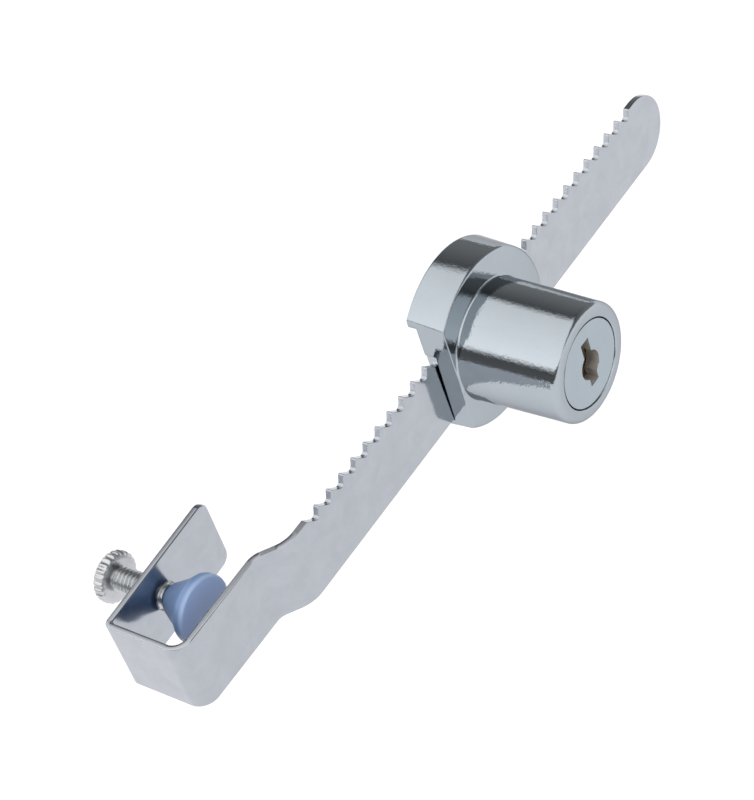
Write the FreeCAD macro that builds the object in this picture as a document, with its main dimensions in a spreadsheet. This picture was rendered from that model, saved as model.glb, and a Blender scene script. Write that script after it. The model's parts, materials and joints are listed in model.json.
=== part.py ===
import FreeCAD, Part
import math
import os
import Sketcher

# Showcase lock for sliding glass doors, in millimetres.
# X runs along the ratchet bar towards its tip, Y from the key side towards the hook's back leg, Z is up.
# The origin is where the thumb screw's axis meets the face of the front leg that bears on the glass.
# A depth is a distance in front of that face, towards the key, so a depth is a negative Y.

DIMENSIONS = {
    # Strip of the ratchet bar, and the joggle that brings the toothed part forward
    "strip_width": 12.7,
    "strip_thickness": 1.0,
    "tip_reach": 114.8,
    "joggle_start": 5.9,
    "joggle_offset": 3.2,
    "joggle_angle": 38.5,
    "joggle_leg_radius": 2.5,
    "joggle_bar_radius": 5,
    # Hook of the ratchet bar
    "hook_reach": 11.35,
    "hook_gap": 12.1,
    "front_bend_radius": 1.9,
    "back_bend_radius": 0.3,
    "back_leg_reach": 13.15,
    "back_leg_splay": 2.3,
    "back_leg_corner_radius": 1.8,
    # Ratchet teeth
    "tooth_pitch": 3.175,
    "tooth_count": 29,
    "first_tooth": 17.69,
    "tooth_depth": 1.6,
    "crest_flat": 0.25,
    "gullet_flat": 0.2,
    "steep_angle": 68,
    # Thumb screw
    "shank_radius": 2.0,
    "thread_clearance": 0.05,
    "knob_radius": 3.95,
    "knob_thickness": 1.8,
    "knob_stand_off": 8.4,
    "knob_chamfer": 0.25,
    "screw_neck_radius": 1.3,
    "screw_neck_length": 2.6,
    "collar_radius": 1.9,
    "collar_length": 1.3,
    # Clamp pad
    "pad_gap": 5.4,
    "pad_length": 6.0,
    "pad_radius": 5.2,
    "pad_rim": 0.9,
    "pad_shoulder_length": 0.9,
    "pad_shoulder_drop": 0.4,
    "pad_neck_radius": 2.0,
    "pad_floor": 2.35,
    "pad_clearance": 0.1,
    # Place of the lock body: the tooth its pawl rests on, and its height on the bar
    "rest_tooth": 13,
    "pawl_tooth_offset": 0.765,
    "lock_height": 2.85,
    # Housing
    "flange_thickness": 6.34,
    "flange_back_radius": 14.32,
    "flange_front_radius": 13.9,
    "flange_chamfer": 0.75,
    "flange_rim": 1.02,
    "flat_distance": 9.56,
    "barrel_length": 16.95,
    "barrel_base_radius": 9.43,
    "barrel_front_radius": 9.15,
    "barrel_chamfer": 0.35,
    "channel_front_gap": 0.4,
    "channel_back_gap": 0.47,
    "channel_low_gap": 0.25,
    "channel_top_gap": 0.4,
    "cavity_depth": 2.6,
    "cavity_radius": 5.6,
    "web_thickness": 1.2,
    # Back plate and its rivets
    "plate_thickness": 1.4,
    "plate_gap": 0.1,
    "plate_inset": 1.6,
    "rivet_radius": 0.9,
    "rivet_length": 4.4,
    "rivet_fit": 0.02,
    "rivet_side": 6.2,
    "rivet_margin": 1.95,
    # Plug
    "plug_radius": 6.0,
    "plug_clearance": 0.05,
    "head_radius": 6.78,
    "head_clearance": 0.1,
    "head_thickness": 1.7,
    "head_inset": 0.1,
    "head_lift": 0.14,
    "tail_radius": 4.4,
    "tail_gap": 0.1,
    "tail_lip": 0.35,
    "plug_turn": 90,
    "lug_angle": 20,
    "lug_height": 0.7,
    "lug_thickness": 0.8,
    "lug_clearance": 0.1,
    "stop_play": 1,
    # Keyway
    "keyway_width": 2.0,
    "keyway_side": 0.1,
    "keyway_top": 4.3,
    "keyway_bottom": 3.8,
    "keyway_round_radius": 2.3,
    "keyway_round_drop": 0.35,
    "keyway_length": 15.2,
    # Wafers and their springs
    "wafer_count": 5,
    "wafer_spacing": 2.5,
    "first_wafer": 21.8,
    "wafer_thickness": 0.9,
    "wafer_width": 4.6,
    "wafer_clearance": 0.1,
    "wafer_inset": 0.05,
    "wafer_throw": 0.6,
    "window_width": 2.7,
    "window_height": 5.0,
    "window_step": 0.15,
    "groove_clearance": 0.3,
    "wafer_ear_bottom": 0.2,
    "wafer_ear_height": 0.8,
    "wafer_spring_radius": 0.5,
    "wafer_spring_bore": 0.3,
    "wafer_spring_length": 3.0,
    # Retaining clip
    "clip_thickness": 0.5,
    "clip_radius": 5.4,
    "clip_seat_depth": 0.5,
    "clip_play": 0.05,
    "clip_wrap": 280,
    # Release cam and its screw
    "cam_thickness": 1.2,
    "cam_base_radius": 2.6,
    "cam_lift": 1.7,
    "cam_nose_radius": 0.5,
    "cam_gap": 0.08,
    "drive_square": 2.8,
    "drive_clearance": 0.03,
    "drive_short": 0.05,
    "cam_screw_head_radius": 2.0,
    "cam_screw_head_height": 0.45,
    "cam_screw_radius": 0.95,
    "cam_screw_length": 3.0,
    "cam_screw_fit": 0.02,
    # Pawl and its spring
    "pawl_half_width": 4.6,
    "pawl_height": 5.33,
    "pawl_foot_thickness": 1.6,
    "pawl_side_clearance": 0.1,
    "mesh_gap": 0.12,
    "pawl_foot_gap": 0.22,
    "pawl_headroom": 2.4,
    "pawl_spring_radius": 1.3,
    "pawl_spring_bore": 0.9,
    "pawl_spring_seat": 2.4,
    "pawl_spring_clearance": 0.15,
}

# How far each wafer's window sits above or below the middle, in steps: this is the lock's code.
WAFER_CODE = (2, -3, 1, -2, 3)

doc = FreeCAD.newDocument("showcase_lock")
sheet = doc.addObject("Spreadsheet::Sheet", "sizes")
for row, (name, number) in enumerate(DIMENSIONS.items(), start=1):
    sheet.set("A%d" % row, name)
    sheet.set("B%d" % row, str(number))
    sheet.setAlias("B%d" % row, name)
doc.recompute()


# Sizes that carry their formula

class Size:
    """A number together with the formula that ties it to the sheet."""

    def __init__(self, value, formula):
        self.value = value
        self.formula = formula

    def __add__(self, other):
        other = as_size(other)
        return Size(self.value + other.value, "(%s + %s)" % (self.formula, other.formula))

    def __radd__(self, other):
        return as_size(other) + self

    def __neg__(self):
        return Size(-self.value, "(-1 * %s)" % self.formula)

    def __sub__(self, other):
        other = as_size(other)
        return Size(self.value - other.value, "(%s - %s)" % (self.formula, other.formula))

    def __rsub__(self, other):
        return as_size(other) - self

    def __mul__(self, other):
        other = as_size(other)
        return Size(self.value * other.value, "(%s * %s)" % (self.formula, other.formula))

    def __rmul__(self, other):
        return as_size(other) * self

    def __truediv__(self, other):
        other = as_size(other)
        return Size(self.value / other.value, "(%s / %s)" % (self.formula, other.formula))


def as_size(number):
    if isinstance(number, Size):
        return number
    return Size(float(number), "(%.6g)" % number)


def size(name):
    return Size(float(sheet.get(name)), "sizes." + name)


def tangent(angle):
    return Size(math.tan(math.radians(angle.value)), "tan(%s)" % angle.formula)


def cosine(angle):
    return Size(math.cos(math.radians(angle.value)), "cos(%s)" % angle.formula)


def other_leg(longest, leg):
    """The third side of a right triangle."""
    value = math.sqrt(longest.value ** 2 - leg.value ** 2)
    return Size(value, "sqrt(%s ^ 2 - %s ^ 2)" % (longest.formula, leg.formula))


def bind(thing, target, amount):
    thing.setExpression(target, as_size(amount).formula)


# Sketches and features

def new_body(label, x=0, z=0):
    body = doc.addObject("PartDesign::Body", label)
    body.Label = label
    bind(body, "Placement.Base.x", x)
    bind(body, "Placement.Base.z", z)
    return body


def origin_feature(body, role):
    return next(feature for feature in body.Origin.OriginFeatures if feature.Role == role)


def new_sketch(body, name, plane, offset=0):
    """A sketch on one of the body's own planes. On XZ_Plane the offset is a depth."""
    sketch = body.newObject("Sketcher::SketchObject", name)
    sketch.AttachmentSupport = (origin_feature(body, plane), [""])
    sketch.MapMode = "FlatFace"
    bind(sketch, "AttachmentOffset.Base.z", offset)
    return sketch


def pin_point(sketch, geometry, position, x, y):
    """Ties a point to the sketch's origin by two bound distances."""
    for kind, axis, amount in (("DistanceX", -2, as_size(x)), ("DistanceY", -1, as_size(y))):
        if amount.value == 0:
            sketch.addConstraint(Sketcher.Constraint("PointOnObject", geometry, position, axis))
            continue
        index = sketch.addConstraint(
            Sketcher.Constraint(kind, -1, 1, geometry, position, amount.value))
        bind(sketch, "Constraints[%d]" % index, amount)


def set_radius(sketch, geometry, radius):
    index = sketch.addConstraint(Sketcher.Constraint("Radius", geometry, radius.value))
    bind(sketch, "Constraints[%d]" % index, radius)


def draw_outline(sketch, corners):
    """A closed outline. A corner is (x, y), or (x, y, radius) where it is rounded."""
    points = [FreeCAD.Vector(as_size(c[0]).value, as_size(c[1]).value, 0) for c in corners]
    count = len(corners)
    first = sketch.GeometryCount
    for i in range(count):
        sketch.addGeometry(Part.LineSegment(points[i], points[(i + 1) % count]))
    for i in range(count):
        following = first + (i + 1) % count
        sketch.addConstraint(Sketcher.Constraint("Coincident", first + i, 2, following, 1))
    for i, corner in enumerate(corners):
        pin_point(sketch, first + i, 1, corner[0], corner[1])
    for i, corner in enumerate(corners):
        if len(corner) == 3:
            radius = as_size(corner[2])
            arc = sketch.GeometryCount
            sketch.fillet(first + i, 1, radius.value, True, True)
            set_radius(sketch, arc, radius)


def draw_circle(sketch, x, y, radius):
    x = as_size(x)
    y = as_size(y)
    radius = as_size(radius)
    center = FreeCAD.Vector(x.value, y.value, 0)
    circle = sketch.addGeometry(Part.Circle(center, FreeCAD.Vector(0, 0, 1), radius.value))
    pin_point(sketch, circle, 3, x, y)
    set_radius(sketch, circle, radius)


def box_corners(left, right, low, high):
    return [(left, low), (right, low), (right, high), (left, high)]


def add_feature(body, kind, name):
    """A new feature of the body, which remembers the volume before it."""
    before = body.Shape.Volume if body.Shape.Solids else 0.0
    return body.newObject("PartDesign::" + kind, name), before


def finish_feature(body, feature, before, adds):
    """Recomputes, and makes sure that the feature did add or take away material."""
    doc.recompute()
    if feature.Shape.isNull() or "Invalid" in feature.State:
        raise RuntimeError("%s of %s failed" % (feature.Name, body.Label))
    change = feature.Shape.Volume - before
    if change * (1 if adds else -1) <= 1e-6:
        raise RuntimeError("%s of %s changed the volume by %.4f" % (feature.Name, body.Label, change))
    return feature


def pad(body, name, sketch, length, backwards=False, middle=False):
    """On XZ_Plane a pad grows towards the key, or away from it if backwards."""
    feature, before = add_feature(body, "Pad", name)
    feature.Profile = sketch
    bind(feature, "Length", length)
    feature.Reversed = backwards
    feature.Midplane = middle
    return finish_feature(body, feature, before, adds=True)


def pocket(body, name, sketch, length=None, forwards=False, middle=False):
    """On XZ_Plane a pocket cuts away from the key, or towards it if forwards."""
    feature, before = add_feature(body, "Pocket", name)
    feature.Profile = sketch
    if length is None:
        feature.Type = "ThroughAll"
    else:
        bind(feature, "Length", length)
    feature.Reversed = forwards
    feature.Midplane = middle
    return finish_feature(body, feature, before, adds=False)


def revolve(body, name, sketch, axis="H_Axis", angle=360):
    feature, before = add_feature(body, "Revolution", name)
    feature.Profile = sketch
    feature.ReferenceAxis = (sketch, [axis])
    bind(feature, "Angle", angle)
    feature.Midplane = True
    return finish_feature(body, feature, before, adds=True)


def groove(body, name, sketch, axis, angle):
    feature, before = add_feature(body, "Groove", name)
    feature.Profile = sketch
    feature.ReferenceAxis = (sketch, [axis])
    bind(feature, "Angle", angle)
    feature.Midplane = True
    return finish_feature(body, feature, before, adds=False)


def repeat_cut(body, name, cut, direction, spacing, count, backwards=False):
    """Repeats a cut along one of its sketch's axes."""
    feature, before = add_feature(body, "LinearPattern", name)
    feature.Originals = [cut]
    feature.Direction = (cut.Profile[0], [direction])
    feature.Reversed = backwards
    bind(feature, "Length", spacing * (count - 1))
    bind(feature, "Occurrences", count)
    body.Tip = feature
    return finish_feature(body, feature, before, adds=False)


# Values that several pieces share

strip_half = size("strip_width") / 2
strip_thickness = size("strip_thickness")
bar_back_depth = size("joggle_offset")
bar_front_depth = bar_back_depth + strip_thickness

tooth_pitch = size("tooth_pitch")
tooth_depth = size("tooth_depth")
steep_run = tooth_depth / tangent(size("steep_angle"))
crest_flat = size("crest_flat")
gullet_flat = size("gullet_flat")

lock_x = size("first_tooth") + size("rest_tooth") * tooth_pitch - size("pawl_tooth_offset")
lock_z = size("lock_height")

plate_seat_depth = bar_back_depth - size("channel_back_gap")
back_depth = plate_seat_depth - size("plate_thickness")
shoulder_depth = back_depth + size("flange_thickness")
front_depth = shoulder_depth + size("barrel_length")
channel_front_depth = bar_front_depth + size("channel_front_gap")
web_back_depth = channel_front_depth + size("cavity_depth")
web_front_depth = web_back_depth + size("web_thickness")
plate_seat_radius = size("flange_back_radius") - size("flange_rim")

face_depth = front_depth - size("head_inset")
head_back_depth = face_depth - size("head_thickness")
ledge_depth = head_back_depth - size("head_lift")
bore_radius = size("plug_radius") + size("plug_clearance")
head_bore_radius = size("head_radius") + size("head_clearance")

clip_front_depth = web_back_depth - size("clip_play")
clip_back_depth = clip_front_depth - size("clip_thickness")
seat_back_depth = clip_back_depth - size("clip_play")
cam_front_depth = seat_back_depth - size("tail_lip")
cam_back_depth = cam_front_depth - size("cam_thickness")

wafer_slot = size("wafer_thickness") + 2 * size("wafer_clearance")
wafer_half_width = size("wafer_width") / 2
wafer_radius = size("plug_radius") - size("wafer_inset")
wafer_row = size("wafer_spacing") * (size("wafer_count") - 1)
ear_top = size("wafer_ear_bottom") + size("wafer_ear_height")
wafer_spring_x = wafer_half_width + size("wafer_clearance") + size("wafer_spring_radius")
spring_room_top = ear_top + size("wafer_spring_length")

pawl_tip_level = strip_half - tooth_depth + size("mesh_gap") - lock_z
pawl_top = pawl_tip_level + size("pawl_height")
pawl_back_depth = plate_seat_depth + size("pawl_foot_gap")
pawl_step_depth = pawl_back_depth + size("pawl_foot_thickness")
pawl_front_depth = cam_front_depth - size("pawl_side_clearance")
pawl_spring_floor = pawl_top - size("pawl_spring_seat")
pawl_room_top = pawl_top + size("pawl_headroom")
pawl_spring_depth = (pawl_back_depth + pawl_front_depth) / 2

rivet_ring = plate_seat_radius - size("rivet_margin")
rivet_rise = other_leg(rivet_ring, size("rivet_side"))
rivet_places = (
    (size("rivet_side"), rivet_rise),
    (-size("rivet_side"), rivet_rise),
    (as_size(0), -rivet_ring),
)


# Ratchet bar: one bent and blanked strip

def make_ratchet_bar():
    body = new_body("ratchet_bar")
    strip_end = size("tip_reach") - strip_half
    angle = size("joggle_angle")
    splay = tangent(size("back_leg_splay"))
    leg_radius = size("joggle_leg_radius")
    bar_radius = size("joggle_bar_radius")
    web_outer = -size("hook_reach")
    web_inner = web_outer + strip_thickness
    leg_end = size("back_leg_reach")
    slope_start = size("joggle_start") + leg_radius * tangent(angle / 2)
    slope_end = slope_start + bar_back_depth / tangent(angle)
    slope_shift = strip_thickness * tangent(angle / 2)
    gap = size("hook_gap")
    leg_outer = gap + strip_thickness / cosine(size("back_leg_splay"))

    profile = new_sketch(body, "bar_profile", "XY_Plane")
    draw_outline(profile, [
        (strip_end, -bar_front_depth),
        (strip_end, -bar_back_depth),
        (slope_end + slope_shift, -bar_back_depth, bar_radius),
        (slope_start + slope_shift, 0, leg_radius + strip_thickness),
        (web_inner, 0, size("front_bend_radius")),
        (web_inner, gap, size("back_bend_radius")),
        (leg_end, gap + (leg_end - web_inner) * splay),
        (leg_end, leg_outer + (leg_end - web_inner) * splay),
        (web_outer, leg_outer - strip_thickness * splay, size("back_bend_radius") + strip_thickness),
        (web_outer, -strip_thickness, size("front_bend_radius") + strip_thickness),
        (slope_start, -strip_thickness, leg_radius),
        (slope_end, -bar_front_depth, bar_radius + strip_thickness),
    ])
    pad(body, "bar_strip", profile, size("strip_width"), middle=True)

    # Full round at the tip: a disc as wide as the strip, on its end
    round_end = new_sketch(body, "tip_round", "XZ_Plane", bar_front_depth)
    draw_circle(round_end, strip_end, 0, strip_half)
    pad(body, "tip_disc", round_end, strip_thickness, backwards=True)

    # Rounded corners of the back leg's free end
    corner = size("back_leg_corner_radius")
    spare = size("strip_width")
    leg_round = new_sketch(body, "leg_round", "XZ_Plane")
    start = leg_end - 2 * corner
    draw_outline(leg_round, [
        (leg_end + corner, -spare),
        (leg_end + corner, spare),
        (start, spare),
        (start, strip_half),
        (leg_end, strip_half, corner),
        (leg_end, -strip_half, corner),
        (start, -strip_half),
        (start, -spare),
    ])
    pocket(body, "leg_cut", leg_round)

    # Tapped hole for the thumb screw, through the back leg only
    screw_hole = new_sketch(body, "screw_hole", "XZ_Plane")
    draw_circle(screw_hole, 0, 0, size("shank_radius") + size("thread_clearance"))
    pocket(body, "screw_hole_cut", screw_hole)

    # Gullets: a steep face that stops the pawl and a gentle slope that lets it climb
    steep_top = size("first_tooth") + steep_run / 2
    floor_right = size("first_tooth") - steep_run / 2
    floor_level = strip_half - tooth_depth
    slope_top = steep_top - tooth_pitch + crest_flat
    gullet = new_sketch(body, "gullet", "XZ_Plane")
    draw_outline(gullet, [
        (slope_top, strip_half),
        (floor_right - gullet_flat, floor_level),
        (floor_right, floor_level),
        (steep_top, strip_half),
        (steep_top, strip_half + tooth_depth),
        (slope_top, strip_half + tooth_depth),
    ])
    first_gullet = pocket(body, "first_gullet", gullet, middle=True)
    repeat_cut(body, "all_gullets", first_gullet, "H_Axis", tooth_pitch, size("tooth_count"))
    return body


# Thumb screw and its swivelling pad

pad_front = size("pad_gap")
pad_end = pad_front + size("pad_length")
collar_front = pad_front + size("pad_floor") + size("pad_clearance")
collar_back = collar_front + size("collar_length")
knob_inner = size("hook_gap") + strip_thickness + size("knob_stand_off")


def make_thumb_screw():
    body = new_body("thumb_screw")
    knob = size("knob_radius")
    knob_outer = knob_inner + size("knob_thickness")
    edge = size("knob_chamfer")
    shank = size("shank_radius")
    neck = size("screw_neck_radius")
    collar = size("collar_radius")
    neck_end = collar_back + size("screw_neck_length")

    profile = new_sketch(body, "screw_profile", "YZ_Plane")
    draw_outline(profile, [
        (collar_front, 0),
        (knob_outer, 0),
        (knob_outer, knob - edge),
        (knob_outer - edge, knob),
        (knob_inner + edge, knob),
        (knob_inner, knob - edge),
        (knob_inner, shank),
        (neck_end, shank),
        (neck_end, neck),
        (collar_back, neck),
        (collar_back, collar),
        (collar_front, collar),
    ])
    revolve(body, "screw_turning", profile)
    return body


def make_clamp_pad():
    body = new_body("clamp_pad")
    radius = size("pad_radius")
    clearance = size("pad_clearance")
    socket = size("collar_radius") + clearance
    mouth = size("screw_neck_radius") + clearance
    neck = size("pad_neck_radius")
    shoulder_y = pad_front + size("pad_rim") + size("pad_shoulder_length")
    shoulder_radius = radius - size("pad_shoulder_drop")

    profile = new_sketch(body, "pad_profile", "YZ_Plane")
    draw_outline(profile, [
        (pad_front, 0),
        (collar_front - clearance, 0),
        (collar_front - clearance, socket),
        (collar_back + clearance, socket),
        (collar_back + clearance, mouth),
        (pad_end, mouth),
        (pad_end, neck),
        (shoulder_y, shoulder_radius),
        (pad_front + size("pad_rim"), radius),
        (pad_front, radius),
    ])
    revolve(body, "pad_turning", profile)
    return body


# Housing: flange, barrel, and the rooms for bar, plug, cam and pawl

def make_lock_housing():
    body = new_body("lock_housing", lock_x, lock_z)
    flange_back = size("flange_back_radius")
    cavity = size("cavity_radius")

    profile = new_sketch(body, "housing_profile", "YZ_Plane")
    draw_outline(profile, [
        (-back_depth, plate_seat_radius),
        (-back_depth, flange_back),
        (-shoulder_depth + size("flange_chamfer"), size("flange_front_radius")),
        (-shoulder_depth, size("flange_front_radius") - size("flange_chamfer")),
        (-shoulder_depth, size("barrel_base_radius")),
        (-front_depth + size("barrel_chamfer"), size("barrel_front_radius")),
        (-front_depth, size("barrel_front_radius") - size("barrel_chamfer")),
        (-front_depth, head_bore_radius),
        (-ledge_depth, head_bore_radius),
        (-ledge_depth, bore_radius),
        (-web_front_depth, bore_radius),
        (-web_front_depth, size("tail_radius") + size("tail_gap")),
        (-web_back_depth, size("tail_radius") + size("tail_gap")),
        (-web_back_depth, cavity),
        (-plate_seat_depth, cavity),
        (-plate_seat_depth, plate_seat_radius),
    ])
    revolve(body, "housing_turning", profile)

    # Flat that bears on the edge of the outer pane
    flat = new_sketch(body, "door_flat", "XZ_Plane")
    side = size("flat_distance")
    draw_outline(flat, box_corners(-side - flange_back, -side, -flange_back, flange_back))
    pocket(body, "door_flat_cut", flat, forwards=True)

    # Channel in which the bar slides, open to the back until the plate closes it
    channel = new_sketch(body, "bar_channel", "YZ_Plane")
    low = -strip_half - size("channel_low_gap") - lock_z
    high = strip_half + size("channel_top_gap") - lock_z
    draw_outline(channel, box_corners(-channel_front_depth, -plate_seat_depth, low, high))
    pocket(body, "bar_channel_cut", channel, middle=True)

    # Room in which the pawl rises
    room = new_sketch(body, "pawl_room", "XZ_Plane", plate_seat_depth)
    half = size("pawl_half_width") + size("pawl_side_clearance")
    draw_outline(room, box_corners(-half, half, 0, pawl_room_top))
    room_length = pawl_front_depth + size("pawl_side_clearance") - plate_seat_depth
    pocket(body, "pawl_room_cut", room, room_length, forwards=True)

    # Two grooves along the bore, above and below, that the wafers drop into
    groove_front = size("first_wafer") + wafer_slot / 2 + size("wafer_clearance")
    groove_length = wafer_row + wafer_slot + 2 * size("wafer_clearance")
    grooves = new_sketch(body, "wafer_grooves", "XZ_Plane", groove_front)
    reach = size("plug_radius") + size("wafer_throw") + size("groove_clearance")
    half = wafer_half_width + size("groove_clearance")
    draw_outline(grooves, box_corners(-half, half, -reach, reach))
    pocket(body, "wafer_grooves_cut", grooves, groove_length)

    # Slot in which the plug's lug swings, so that the plug turns a quarter turn
    stop = new_sketch(body, "stop_slot", "XY_Plane")
    slot_radius = size("plug_radius") + size("lug_height") + size("lug_clearance")
    slot_back = ledge_depth - size("lug_thickness") - 2 * size("lug_clearance")
    draw_outline(stop, box_corners(size("plug_radius") / 2, slot_radius, -ledge_depth, -slot_back))
    groove(body, "stop_slot_cut", stop, "V_Axis", size("plug_turn") + size("lug_angle") + 2 * size("stop_play"))

    # Blind holes for the rivets of the back plate
    holes = new_sketch(body, "rivet_holes", "XZ_Plane", plate_seat_depth)
    for x, z in rivet_places:
        draw_circle(holes, x, z, size("rivet_radius") + size("rivet_fit"))
    hole_length = size("rivet_length") - size("plate_thickness") + size("rivet_fit")
    pocket(body, "rivet_holes_cut", holes, hole_length, forwards=True)
    return body


def make_back_plate():
    body = new_body("back_plate", lock_x, lock_z)
    radius = plate_seat_radius - size("plate_gap")
    thickness = size("plate_thickness")
    disc = new_sketch(body, "plate_disc", "XZ_Plane", back_depth)
    draw_circle(disc, 0, 0, radius)
    pad(body, "plate_blank", disc, thickness)

    chord = new_sketch(body, "plate_chord", "XZ_Plane", back_depth)
    side = size("flat_distance") - size("plate_inset")
    draw_outline(chord, box_corners(-side - radius, -side, -radius, radius))
    pocket(body, "plate_chord_cut", chord, forwards=True)

    holes = new_sketch(body, "plate_holes", "XZ_Plane", back_depth)
    for x, z in rivet_places:
        draw_circle(holes, x, z, size("rivet_radius") + size("rivet_fit"))
    pocket(body, "plate_holes_cut", holes, forwards=True)
    return body


def make_plate_rivets():
    """Three plain rivets, set flush with the plate."""
    rivets = []
    for number, (x, z) in enumerate(rivet_places, start=1):
        rivet = doc.addObject("Part::Cylinder", "rivet_%d" % number)
        bind(rivet, "Radius", size("rivet_radius"))
        bind(rivet, "Height", size("rivet_length"))
        rivet.Placement.Rotation = FreeCAD.Rotation(FreeCAD.Vector(1, 0, 0), 90)
        bind(rivet, "Placement.Base.x", x)
        bind(rivet, "Placement.Base.y", -back_depth)
        bind(rivet, "Placement.Base.z", z)
        rivets.append(rivet)
    group = doc.addObject("Part::Compound", "plate_rivets")
    group.Label = "plate_rivets"
    group.Links = rivets
    bind(group, "Placement.Base.x", lock_x)
    bind(group, "Placement.Base.z", lock_z)
    return group


# Plug with its keyway, wafer slots, lug, tail and drive square

def make_lock_plug():
    body = new_body("lock_plug", lock_x, lock_z)
    plug = size("plug_radius")
    tail = size("tail_radius")
    seat = tail - size("clip_seat_depth")
    body_back = web_front_depth + size("tail_gap")

    profile = new_sketch(body, "plug_profile", "YZ_Plane")
    draw_outline(profile, [
        (-face_depth, 0),
        (-cam_front_depth, 0),
        (-cam_front_depth, tail),
        (-seat_back_depth, tail),
        (-seat_back_depth, seat),
        (-web_back_depth, seat),
        (-web_back_depth, tail),
        (-body_back, tail),
        (-body_back, plug),
        (-head_back_depth, plug),
        (-head_back_depth, size("head_radius")),
        (-face_depth, size("head_radius")),
    ])
    revolve(body, "plug_turning", profile)

    # Drive square for the cam, with the cam screw's hole
    square = new_sketch(body, "drive_square", "XZ_Plane", cam_front_depth)
    half = size("drive_square") / 2
    draw_outline(square, box_corners(-half, half, -half, half))
    square_length = size("cam_thickness") - size("drive_short")
    pad(body, "drive_square_pad", square, square_length, backwards=True)
    screw_hole = new_sketch(body, "cam_screw_hole", "XZ_Plane", cam_front_depth - square_length)
    draw_circle(screw_hole, 0, 0, size("cam_screw_radius") + size("cam_screw_fit"))
    pocket(body, "cam_screw_hole_cut", screw_hole, size("cam_screw_length"), forwards=True)

    # Lug that stops the plug at each end of its quarter turn
    lug = new_sketch(body, "stop_lug", "XY_Plane")
    lug.AttachmentOffset = FreeCAD.Placement(
        FreeCAD.Vector(0, 0, 0), FreeCAD.Rotation(FreeCAD.Vector(0, -1, 0), 45))
    bind(lug, "AttachmentOffset.Rotation.Angle", size("plug_turn") / 2)
    lug_front = ledge_depth - size("lug_clearance")
    lug_back = lug_front - size("lug_thickness")
    draw_outline(lug, box_corners(plug / 2, plug + size("lug_height"), -lug_front, -lug_back))
    revolve(body, "stop_lug_turning", lug, "V_Axis", size("lug_angle"))

    # Keyway: an upright slot with a round middle
    keyway = new_sketch(body, "keyway", "XZ_Plane", face_depth)
    middle = size("keyway_side")
    half = size("keyway_width") / 2
    corners = box_corners(middle - half, middle + half, -size("keyway_bottom"), size("keyway_top"))
    draw_outline(keyway, corners)
    pocket(body, "keyway_cut", keyway, size("keyway_length"))
    keyway_round = new_sketch(body, "keyway_round", "XZ_Plane", face_depth)
    draw_circle(keyway_round, middle, -size("keyway_round_drop"), size("keyway_round_radius"))
    pocket(body, "keyway_round_cut", keyway_round, size("keyway_length"))

    # One slot for each wafer, with a side room for its ear and spring
    slot = new_sketch(body, "wafer_slot", "XZ_Plane", size("first_wafer") + wafer_slot / 2)
    half = wafer_half_width + size("wafer_clearance")
    room_side = wafer_spring_x + size("wafer_spring_radius") + size("wafer_clearance")
    room_low = size("wafer_ear_bottom") - size("wafer_throw") - size("groove_clearance")
    through = plug + size("lug_height")
    draw_outline(slot, [
        (-half, -through),
        (half, -through),
        (half, room_low),
        (room_side, room_low),
        (room_side, spring_room_top),
        (half, spring_room_top),
        (half, through),
        (-half, through),
    ])
    first_slot = pocket(body, "first_wafer_slot", slot, wafer_slot)
    spacing = size("wafer_spacing")
    repeat_cut(body, "wafer_slots", first_slot, "N_Axis", spacing, size("wafer_count"), backwards=True)
    return body


def make_wafer(number, code):
    """A brass wafer drawn in flush with the plug, as a key holds it."""
    body = new_body("wafer_%d" % (number + 1), lock_x, lock_z)
    front = size("first_wafer") - number * size("wafer_spacing") + size("wafer_thickness") / 2
    thickness = size("wafer_thickness")
    end = other_leg(wafer_radius, wafer_half_width)

    disc = new_sketch(body, "wafer_disc", "XZ_Plane", front)
    draw_circle(disc, 0, 0, wafer_radius)
    pad(body, "wafer_blank", disc, thickness, backwards=True)

    # The disc's two sides come off, except where the ear stays
    sides = new_sketch(body, "wafer_sides", "XZ_Plane", front)
    reach = wafer_radius + thickness
    draw_outline(sides, box_corners(-reach, -wafer_half_width, -end - thickness, end + thickness))
    ear = wafer_spring_x + size("wafer_spring_radius")
    draw_outline(sides, [
        (reach, -end - thickness),
        (reach, end + thickness),
        (wafer_half_width, end + thickness),
        (wafer_half_width, ear_top),
        (ear, ear_top),
        (ear, size("wafer_ear_bottom")),
        (wafer_half_width, size("wafer_ear_bottom")),
        (wafer_half_width, -end - thickness),
    ])
    pocket(body, "wafer_sides_cut", sides)

    window = new_sketch(body, "wafer_window", "XZ_Plane", front)
    half_width = size("window_width") / 2
    half_height = size("window_height") / 2
    middle = code * size("window_step")
    draw_outline(window, box_corners(-half_width, half_width, middle - half_height, middle + half_height))
    pocket(body, "wafer_window_cut", window)
    return body


def make_spring(label, x, depth, low, length, outer, bore):
    """A small inner spring as a plain eight-sided sleeve of its coils' form, standing on end."""
    body = new_body(label, x, low)
    ring = new_sketch(body, label + "_ring", "XY_Plane")
    for reach in (outer, bore):
        side = reach * tangent(as_size(22.5))
        draw_outline(ring, [
            (reach, side - depth),
            (side, reach - depth),
            (-side, reach - depth),
            (-reach, side - depth),
            (-reach, -side - depth),
            (-side, -reach - depth),
            (side, -reach - depth),
            (reach, -side - depth),
        ])
    pad(body, label + "_sleeve", ring, length)
    return body


def make_retaining_clip():
    body = new_body("retaining_clip", lock_x, lock_z)
    inner = size("tail_radius") - size("clip_seat_depth") + size("clip_play")
    section = new_sketch(body, "clip_section", "XY_Plane")
    draw_outline(section, box_corners(inner, size("clip_radius"), -clip_front_depth, -clip_back_depth))
    revolve(body, "clip_ring", section, "V_Axis", size("clip_wrap"))
    return body


# Release cam: an involute flank lifts the flat-footed pawl at a steady rate

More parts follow.
